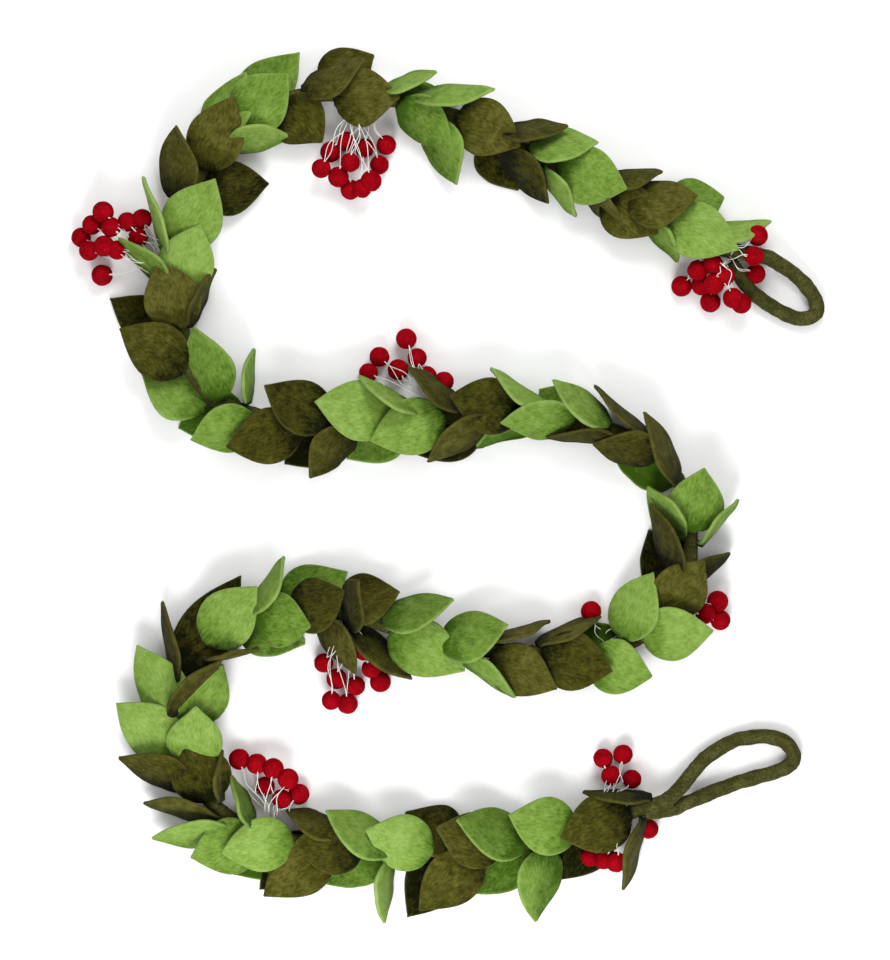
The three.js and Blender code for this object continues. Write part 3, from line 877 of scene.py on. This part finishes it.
@dataclass
class Leaf:
    """One felt leaf: its base rolled into a stem, opening into a domed blade with a pointed tip.

    Shares run along the leaf from its root to its tip. Pairs are the limits of a chance value or of a
    gradual change.
    """

    row: LeafRow
    seed: int
    half_width: float = 19.2 * MM
    width_factors: tuple[float, float] = (0.95, 1.05)
    widest: float = 0.4
    tip_half_width: float = 0.5 * MM
    stem_half_width: float = 6.5 * MM
    stem_curl: float = 2.5 * MM
    stem_share: float = 0.16
    felt: float = 2.7 * MM
    edge_round: float = 0.6
    dome: tuple[float, float] = (34 * MM, 100 * MM)
    arch: float = 2.5 * MM
    sideways_bow: float = 2.5 * MM
    roll_degrees: float = 5.0
    twist_degrees: float = 8.0
    ripple: tuple[float, float] = (0.5 * MM, 1.3 * MM)
    ripple_count: tuple[float, float] = (0.9, 1.5)
    ripple_start: tuple[float, float] = (0.2, 0.5)
    seat_away: float = 6.8 * MM
    middle_lowest: float = 0.55
    lowest: float = 0.05 * MM
    # Painted shade: the colour is darkened towards the leaf's base and low down under the other leaves,
    # standing in for their shadow.
    base_shade: float = 0.46
    base_share: float = 0.45
    depth_shade: float = 0.38
    depth_range: tuple[float, float] = (4 * MM, 24 * MM)
    deepest_shade: float = 0.46
    rim_width: float = 1.8 * MM
    rows: int = 26
    tip_crowding: float = 1.25

    def surface(self, rope: Rope) -> tuple[np.ndarray, np.ndarray, np.ndarray]:
        """Lays out the leaf's middle surface.

        Args:
            rope: The rope that it is sewn to.

        Returns:
            The points by row and column, the share along the leaf, and the half width of each row.
        """
        root_x, root_y, tip_x, tip_y, seat, tip_height, roll = self.row
        chance = np.random.RandomState(self.seed)
        root, _ = rope.seat(root_x, root_y, seat, self.seat_away)
        share = 1.0 - (1.0 - np.linspace(0.0, 1.0, self.rows)) ** self.tip_crowding
        spine, ahead = self._spine(root, on_sheet(tip_x, tip_y, tip_height), share, chance)
        level = unit(np.stack([-ahead[:, 1], ahead[:, 0], np.zeros(self.rows)], axis=1))
        up = np.cross(ahead, level)
        turn = np.radians(roll + chance.uniform(-self.roll_degrees, self.roll_degrees))
        twist = np.radians(chance.uniform(-self.twist_degrees, self.twist_degrees))
        rolled = (turn + twist * share)[:, None]
        across = np.cos(rolled) * level - np.sin(rolled) * up
        face = np.cos(rolled) * up + np.sin(rolled) * level
        half = self._half_width(share) * chance.uniform(*self.width_factors)
        side, drop = self._section(share, half, chance)
        points = spine[:, None] + across[:, None] * side[..., None] - face[:, None] * drop[..., None]
        points[..., 2] = np.maximum(points[..., 2], self.middle_lowest * self.felt)
        return points, share, half

    def _spine(
        self, root: np.ndarray, tip: np.ndarray, share: np.ndarray, chance: np.random.RandomState
    ) -> tuple[np.ndarray, np.ndarray]:
        """Draws the leaf's midrib, bowed up and a little to one side.

        Args:
            root: The sewn end.
            tip: The pointed end.
            share: The share along the leaf of each row.
            chance: The source of its bow.

        Returns:
            The midrib's points and its direction at each.
        """
        sideways = unit(np.array([root[1] - tip[1], tip[0] - root[0], 0.0]))
        bow = chance.uniform(-self.sideways_bow, self.sideways_bow)
        crown = 0.5 * (root + tip) + np.array([0, 0, self.arch]) + bow * sideways
        part = share[:, None]
        spine = (1 - part) ** 2 * root + 2 * part * (1 - part) * crown + part**2 * tip
        spine[:, 2] = np.maximum(spine[:, 2], 0.5 * self.felt)
        return spine, unit(np.gradient(spine, axis=0))

    def _half_width(self, share: np.ndarray) -> np.ndarray:
        """Gives half the cut felt's width: a rounded base and a pointed tip.

        Args:
            share: The share along the leaf of each row.

        Returns:
            The half width of each row.
        """
        round_base = np.sqrt(np.clip(1 - ((self.widest - share) / self.widest) ** 2, 0, 1))
        pointed = np.cos(0.5 * np.pi * np.clip((share - self.widest) / (1 - self.widest), 0, 1))
        blade = self.half_width * np.where(share < self.widest, round_base, pointed)
        stem = self.stem_half_width * (1 - smoothstep(0.0, self.widest, share))
        return np.maximum(np.maximum(blade, stem), self.tip_half_width)

    def _section(
        self, share: np.ndarray, half: np.ndarray, chance: np.random.RandomState
    ) -> tuple[np.ndarray, np.ndarray]:
        """Bends each row of the felt: rolled up at the stem, domed and rippled further on.

        Args:
            share: The share along the leaf of each row.
            half: The half width of each row.
            chance: The source of its dome and ripples.

        Returns:
            How far out and how far down each point lies from the midrib.
        """
        opened = smoothstep(0.0, self.stem_share, share)
        bend = 1.0 / (self.stem_curl * (1 - opened) + chance.uniform(*self.dome) * opened)[:, None]
        columns = self.columns()
        reach = half[:, None] * columns
        side = np.sin(bend * reach) / bend
        drop = (1.0 - np.cos(bend * reach)) / bend
        height = chance.uniform(*self.ripple)
        count = chance.uniform(*self.ripple_count)
        wave = height * np.sin(2 * np.pi * (count * share + chance.uniform()))
        return side, drop + (wave * smoothstep(*self.ripple_start, share))[:, None] * columns**2

    @staticmethod
    def columns() -> np.ndarray:
        """Places across the leaf, closer together towards its edges."""
        side = np.array([0.0, 0.2, 0.4, 0.58, 0.73, 0.85, 0.93, 0.975, 1.0])
        return np.concatenate([-side[:0:-1], side])

    def shell(self, rope: Rope) -> Shell:
        """Makes the leaf a closed sheet of felt with rounded edges.

        Args:
            rope: The rope that it is sewn to.

        Returns:
            The finished shell.
        """
        middle, share, half = self.surface(rope)
        rows, width = middle.shape[:2]
        columns = self.columns()
        length = float(np.linalg.norm(np.diff(middle[:, width // 2], axis=0), axis=1).sum())
        inset = np.minimum(half[:, None] * (1 - np.abs(columns)), ((1 - share) * length)[:, None])
        points = self._faced(middle, inset)
        used, faces = np.unique(self._faces(rows, width), return_inverse=True)
        along = np.repeat(share[:, None] * length, width, axis=1)
        flat = np.stack([half[:, None] * columns, along], axis=-1).reshape(-1, 2)
        # Nearness to the cut edge, for the highlight painted there.
        rim = 1 - smoothstep(0.0, self.rim_width, inset).ravel()
        return Shell(
            points=points[used],
            faces=faces.reshape(-1, 4),
            flat=np.tile(flat, (2, 1))[used],
            rim=np.tile(rim, 2)[used],
            tint=-self._shade(np.tile(np.repeat(share, width), 2), points[:, 2])[used],
            length=length,
            area=float(np.sum((half[1:] + half[:-1]) * np.diff(share)) * length),
        )

    def _faced(self, middle: np.ndarray, inset: np.ndarray) -> np.ndarray:
        """Gives the middle surface the felt's thickness.

        Args:
            middle: The points by row and column.
            inset: Each point's distance from the cut edge.

        Returns:
            The points of the upper face and then of the lower one, which meet at the edge.
        """
        normal = unit(np.cross(np.gradient(middle, axis=0), np.gradient(middle, axis=1)))
        near_edge = np.clip(1 - inset / (self.edge_round * self.felt), 0, 1)
        offset = normal * (0.5 * self.felt * np.sqrt(1 - near_edge**2))[..., None]
        points = np.concatenate([(middle + offset).reshape(-1, 3), (middle - offset).reshape(-1, 3)])
        points[:, 2] = np.maximum(points[:, 2], self.lowest)
        return points

    def _faces(self, rows: int, width: int) -> np.ndarray:
        """Joins the two faces at the edges, the tip and the base.

        Args:
            rows: How many rows of points each face has.
            width: How many points a row has.

        Returns:
            The corners of each quad; at the edges some are repeated.
        """
        over = np.arange(rows * width).reshape(rows, width)
        under = over + rows * width
        over[-1, [0, -1]] = over[-1, [1, -2]]
        under[:, [0, -1]] = over[:, [0, -1]]
        under[-1] = over[-1]
        base = np.stack([under[0], over[0]])
        return np.concatenate([self._quads(over), self._quads(under)[:, ::-1], self._quads(base)])

    @staticmethod
    def _quads(grid: np.ndarray) -> np.ndarray:
        """The quads of a grid of point numbers."""
        return np.stack([grid[:-1, :-1], grid[1:, :-1], grid[1:, 1:], grid[:-1, 1:]], axis=-1).reshape(-1, 4)

    def _shade(self, share: np.ndarray, height: np.ndarray) -> np.ndarray:
        """Paints shade into the felt's colour towards the leaf's base and low down, where the other leaves
        would shadow it.

        Args:
            share: Each point's share along the leaf.
            height: Each point's height.

        Returns:
            How much painted shade each point gets.
        """
        base = 1 - smoothstep(0.0, self.base_share, share)
        depth = 1 - smoothstep(*self.depth_range, height)
        return np.minimum(self.base_shade * base + self.depth_shade * depth, self.deepest_shade)


@dataclass
class Spray:
    """One spray of leaves of one green."""

    number: int
    row: SprayRow
    tint_range: float = 0.2
    seed_step: int = 100

    @property
    def node(self) -> str:
        """The spray's solid."""
        return f"{self.row[0].name.lower()}_leaves_{self.number:02d}"

    def build(self, rope: Rope, felts: dict[Felt, bpy.types.Material]) -> bpy.types.Object:
        """Makes the spray in place of its solid.

        Args:
            rope: The rope that it is sewn to.
            felts: The material of each green.

        Returns:
            The finished piece.
        """
        felt, leaves = self.row
        first_seed = self.seed_step * self.number
        shells = [Leaf(row, seed).shell(rope) for seed, row in enumerate(leaves, start=first_seed)]
        piece = link(bpy.data.objects.new(f"felt_{self.node}", self._mesh(shells)))
        piece.data.materials.append(felts[felt])
        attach(piece, "root")
        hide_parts(self.node)
        2 * Leaf.half_width
        return piece

    def _mesh(self, shells: list[Shell]) -> bpy.types.Mesh:
        """Joins the leaves into one mesh with its felt coordinates, cut-edge nearness for the painted
        highlight, and painted shade with a random tone for each leaf.

        Args:
            shells: The leaves.

        Returns:
            The mesh, each leaf with a random tone over its painted shade and a place on the felt of its own.
        """
        chance = np.random.RandomState(self.number)
        starts = np.cumsum([0] + [len(shell.points) for shell in shells[:-1]])
        points = np.concatenate([shell.points for shell in shells])
        quads = np.concatenate([shell.faces + start for shell, start in zip(shells, starts)])
        # Each leaf's painted shade, with a random tone of its own added.
        painted_shades_and_tones = [shell.tint + chance.uniform(-self.tint_range, self.tint_range) for shell in shells]
        flat = np.concatenate([shell.flat + chance.uniform(0, 1, 2) for shell in shells])
        rim = np.concatenate([shell.rim for shell in shells])
        # A quad with a repeated corner becomes a triangle.
        faces = [list(dict.fromkeys(quad)) for quad in quads.tolist()]
        mesh = bpy.data.meshes.new(f"felt_{self.node}")
        mesh.from_pydata(points.tolist(), [], faces)
        mesh.validate(clean_customdata=False)
        mesh.polygons.foreach_set("use_smooth", np.ones(len(mesh.polygons), dtype=bool))
        for name, values in (("rim", rim), ("tint", np.concatenate(painted_shades_and_tones))):
            mesh.attributes.new(name, "FLOAT", "POINT").data.foreach_set("value", values)
        corners = np.empty(len(mesh.loops), dtype=np.int32)
        mesh.loops.foreach_get("vertex_index", corners)
        mesh.uv_layers.new(name="felt").uv.foreach_set("vector", flat[corners].ravel())
        return mesh


@dataclass
class Cluster:
    """A cluster of felt berries, each on its own slack thread."""

    number: int
    row: ClusterRow
    radius: float = 6.6 * MM
    size_factors: tuple[float, float] = (0.93, 1.05)
    detail: int = 4
    lump: float = 0.7 * MM
    lump_scale: float = 260.0
    rest_radii: float = 1.06
    apart_radii: float = 1.9
    highest_radii: float = 3.0
    thread_radius: float = 0.25 * MM
    thread_step: float = 1.5 * MM
    thread_sides: int = 6
    thread_lump: float = 0.1 * MM
    thread_lump_scale: float = 900.0
    thread_points: int = 40
    thread_seed: int = 700
    pitch: float = 1.2 * MM
    slack: float = 3.0 * MM
    waves: tuple[float, float] = (0.4, 1.1)
    humps: tuple[float, float] = (0.8, 2.2)
    knot_back: float = 0.6
    knot_up: float = 0.62
    tail_start: tuple[float, float] = (0.3, 0.75)
    tail_slack: float = 1.5

    @property
    def node(self) -> str:
        """The cluster's solid."""
        return f"berries_{self.number:02d}"

    def centres(self, tie: np.ndarray) -> np.ndarray:
        """Lays out the berries, the ones near the rope on top of those further out.

        Args:
            tie: Where the cluster is sewn to the rope.

        Returns:
            The berries' middles.
        """
        rise = np.array([0, 0, self.rest_radii * self.radius])
        berries = [on_sheet(x, y, underside) + rise for x, y, underside in self.row[2]]
        berries.sort(key=lambda middle: -float(np.linalg.norm(middle - tie)))
        apart = self.apart_radii * self.radius
        placed: list[np.ndarray] = []
        for middle in berries:
            for other in placed:
                beside = float(np.linalg.norm(middle[:2] - other[:2]))
                if beside < apart:
                    atop = other[2] + math.sqrt(apart**2 - beside**2)
                    middle[2] = max(middle[2], min(atop, self.highest_radii * self.radius))
            placed.append(middle)
        return np.array(placed)

    def build(
        self, rope: Rope, graphs: dict[str, ShapeGraph], red: bpy.types.Material, white: bpy.types.Material
    ) -> list[bpy.types.Object]:
        """Makes the balls and their threads in place of the cluster's solid.

        Args:
            rope: The rope that they are sewn to.
            graphs: The trees that make balls and sweep threads.
            red: The berries' felt.
            white: The threads' cotton.

        Returns:
            The balls and the threads.
        """
        (tie_x, tie_y), seat, _ = self.row
        tie, run = rope.seat(tie_x, tie_y, seat, rope.radius)
        centres = self.centres(tie)
        dots = bpy.data.meshes.new("dots")
        dots.from_pydata(centres.tolist(), [], [])
        balls = graphs["balls"].apply(link(bpy.data.objects.new(f"felt_{self.node}", dots)), {
            "Radius": self.radius, "Smallest": self.size_factors[0], "Largest": self.size_factors[1],
            "Detail": self.detail, "Lump": self.lump, "Lump Scale": self.lump_scale, "Seed": self.number,
            "Material": red,
        })
        lines = curves_object(f"threads_{self.number:02d}", self._threads(tie, run, centres))
        threads = graphs["sweep"].apply(lines, {
            "Radius": self.thread_radius, "Step": self.thread_step, "Sides": self.thread_sides,
            "Lump": self.thread_lump, "Lump Scale": self.thread_lump_scale, "Material": white,
        })
        for piece, slot in ((balls, "berry_felt"), (threads, "thread")):
            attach(piece, "root")
            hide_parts(self.node)
        return [balls, threads]

    def _threads(self, tie: np.ndarray, run: np.ndarray, centres: np.ndarray) -> list[np.ndarray]:
        """Draws a slack thread from the rope to each berry, and the loose tail of its knot.

        Args:
            tie: Where the cluster is sewn to the rope.
            run: The rope's direction there.
            centres: The berries' middles.

        Returns:
            The points of each thread and of each tail.
        """
        chance = np.random.RandomState(self.thread_seed + self.number)
        places = np.linspace(-0.5, 0.5, len(centres)) * self.pitch * len(centres)
        lines = []
        for place, centre in zip(places, centres):
            start = tie + run * place
            lines.append(self._thread(start, centre, 0.0, self.slack, chance))
            cut = chance.uniform(*self.tail_start)
            lines.append(self._thread(start, centre, cut, self.tail_slack * self.slack, chance))
        return lines

    def _thread(
        self, start: np.ndarray, centre: np.ndarray, cut: float, slack: float, chance: np.random.RandomState
    ) -> np.ndarray:
        """Draws one bowed and wavering thread that ends in a berry's top.

        Args:
            start: The thread's sewn end.
            centre: The berry's middle.
            cut: The share of the thread that is cut away from its sewn end.
            slack: How far it wavers.
            chance: The source of its bends.

        Returns:
            The thread's points.
        """
        share = np.linspace(cut, 1.0, self.thread_points)[:, None]
        lift = np.array([0.0, 0.0, 1.0])
        back = unit((start - centre) * np.array([1, 1, 0]))
        side = np.array([-back[1], back[0], 0.0])
        end = centre + self.radius * (self.knot_back * back + self.knot_up * lift)
        waves, phase = chance.uniform(*self.waves), chance.uniform(0, 2 * np.pi)
        sway = np.sin(2 * np.pi * waves * share + phase) * np.sin(np.pi * share)
        hump = np.sin(np.pi * share) * self.slack * chance.uniform(*self.humps)
        return start + (end - start) * share + slack * sway * side + hump * lift


@dataclass
class Studio:
    """The white surface, soft light from all sides and the camera straight above."""

    picture: tuple[int, int] = (890, 960)
    camera_height: float = 2.2
    camera_depth: float = 20.0
    focus_height: float = 20 * MM
    floor_size: float = 30.0
    world_colour: Colour = (1.0, 1.0, 1.0)
    world_strength: float = 0.18
    softbox_size: float = 0.48
    softbox_reach: float = 0.75
    softbox_rise: float = 0.9
    softbox_powers: tuple[tuple[float, float], ...] = ((10, 6.5), (85, 1.2), (185, 9.5), (275, 1.2))
    overhead_strength: float = 0.55
    overhead_spread: float = 50.0

    def build(self) -> None:
        """Sets up the floor, the light and the camera."""
        self._floor()
        self._world()
        for azimuth, power in self.softbox_powers:
            self._softbox(azimuth, power)
        self._overhead()
        self._camera()

    def _floor(self) -> None:
        """A plain pale surface."""
        half = self.floor_size / 2
        corners = [(-half, -half, 0), (half, -half, 0), (half, half, 0), (-half, half, 0)]
        mesh = bpy.data.meshes.new("surface")
        mesh.from_pydata(corners, [], [(0, 1, 2, 3)])
        mesh.materials.append(WHITE_PAINT.material())
        link(bpy.data.objects.new("surface", mesh))

    def _world(self) -> None:
        """Even white light from all round."""
        world = bpy.data.worlds.new("studio")
        world.use_nodes = True
        background = world.node_tree.nodes["Background"]
        background.inputs["Color"].default_value = opaque(self.world_colour)
        background.inputs["Strength"].default_value = self.world_strength
        bpy.context.scene.world = world
        bpy.context.scene.view_settings.view_transform = "Standard"

    def _softbox(self, azimuth: float, power: float) -> None:
        """Puts a square softbox to one side, pointing at the garland.

        Args:
            azimuth: Its side, in degrees clockwise from the top of the sheet.
            power: Its power in watts.
        """
        turn = math.radians(azimuth)
        place = Vector((math.sin(turn), math.cos(turn), self.softbox_rise)) * self.softbox_reach
        data = bpy.data.lights.new(f"softbox_{azimuth}", "AREA")
        data.energy = power
        data.size = self.softbox_size
        lamp = link(bpy.data.objects.new(data.name, data))
        lamp.location = place
        lamp.rotation_euler = (-place).to_track_quat("-Z", "Y").to_euler()

    def _overhead(self) -> None:
        """Wide soft light from straight above, the same over the whole surface."""
        data = bpy.data.lights.new("overhead", "SUN")
        data.energy = self.overhead_strength
        data.angle = math.radians(self.overhead_spread)
        link(bpy.data.objects.new(data.name, data))

    def _camera(self) -> None:
        """The camera, its picture laid over the sheet the garland is plotted on."""
        width, height = self.picture
        data = bpy.data.cameras.new("camera")
        data.lens = data.sensor_width * (self.camera_height - self.focus_height) / (max(width, height) * GRID)
        data.clip_end = self.camera_depth
        camera = link(bpy.data.objects.new("camera", data))
        camera.location = Vector(on_sheet(width / 2, height / 2)) + Vector((0, 0, self.camera_height))
        bpy.context.scene.camera = camera


LIGHT_FELT = FeltFinish(
    "light_felt", shade=(0.038, 0.088, 0.004), middle=(0.142, 0.238, 0.036), light=(0.228, 0.345, 0.080),
    rim=(0.27, 0.38, 0.11), contrast=0.8,
)
DARK_FELT = FeltFinish(
    "dark_felt", shade=(0.005, 0.006, 0.0003), middle=(0.048, 0.047, 0.0045), light=(0.104, 0.098, 0.019),
    rim=(0.094, 0.088, 0.020), contrast=0.9,
)
RED_FELT = FeltFinish(
    "berry_felt", shade=(0.12, 0.0006, 0.002), middle=(0.25, 0.0012, 0.0050), light=(0.37, 0.004, 0.012),
    rim=(0.38, 0.003, 0.010), grain=Grain.ROUND, sheen=0.0, specular=0.02,
)
ROPE_FELT = FeltFinish(
    "rope_felt", shade=(0.014, 0.016, 0.002), middle=(0.047, 0.048, 0.0105), light=(0.094, 0.092, 0.030),
    rim=(0.094, 0.092, 0.030), grain=Grain.ROUND, contrast=1.1,
)
WHITE_THREAD = ThreadFinish("white_thread")
WHITE_PAINT = PaintFinish("white_surface")


def main() -> None:
    """Builds the garland piece by piece and logs each piece's face count."""
    Studio().build()
    rope = Rope()
    graphs = {"sweep": sweep_graph(), "balls": ball_graph()}
    made = rope.build(graphs["sweep"], ROPE_FELT.material())
    felts = {Felt.LIGHT: LIGHT_FELT.material(), Felt.DARK: DARK_FELT.material()}
    for number, row in enumerate(SPRAYS, start=1):
        made.append(Spray(number, row).build(rope, felts))
    red, white = RED_FELT.material(), WHITE_THREAD.material()
    for number, row in enumerate(CLUSTERS, start=1):
        made.extend(Cluster(number, row).build(rope, graphs, red, white))
    for piece in made:
        log.info("%s: %d faces", piece.name, len(piece.data.polygons))


if __name__ == "__main__":
    logging.basicConfig(level=logging.INFO, format="%(message)s")
    main()
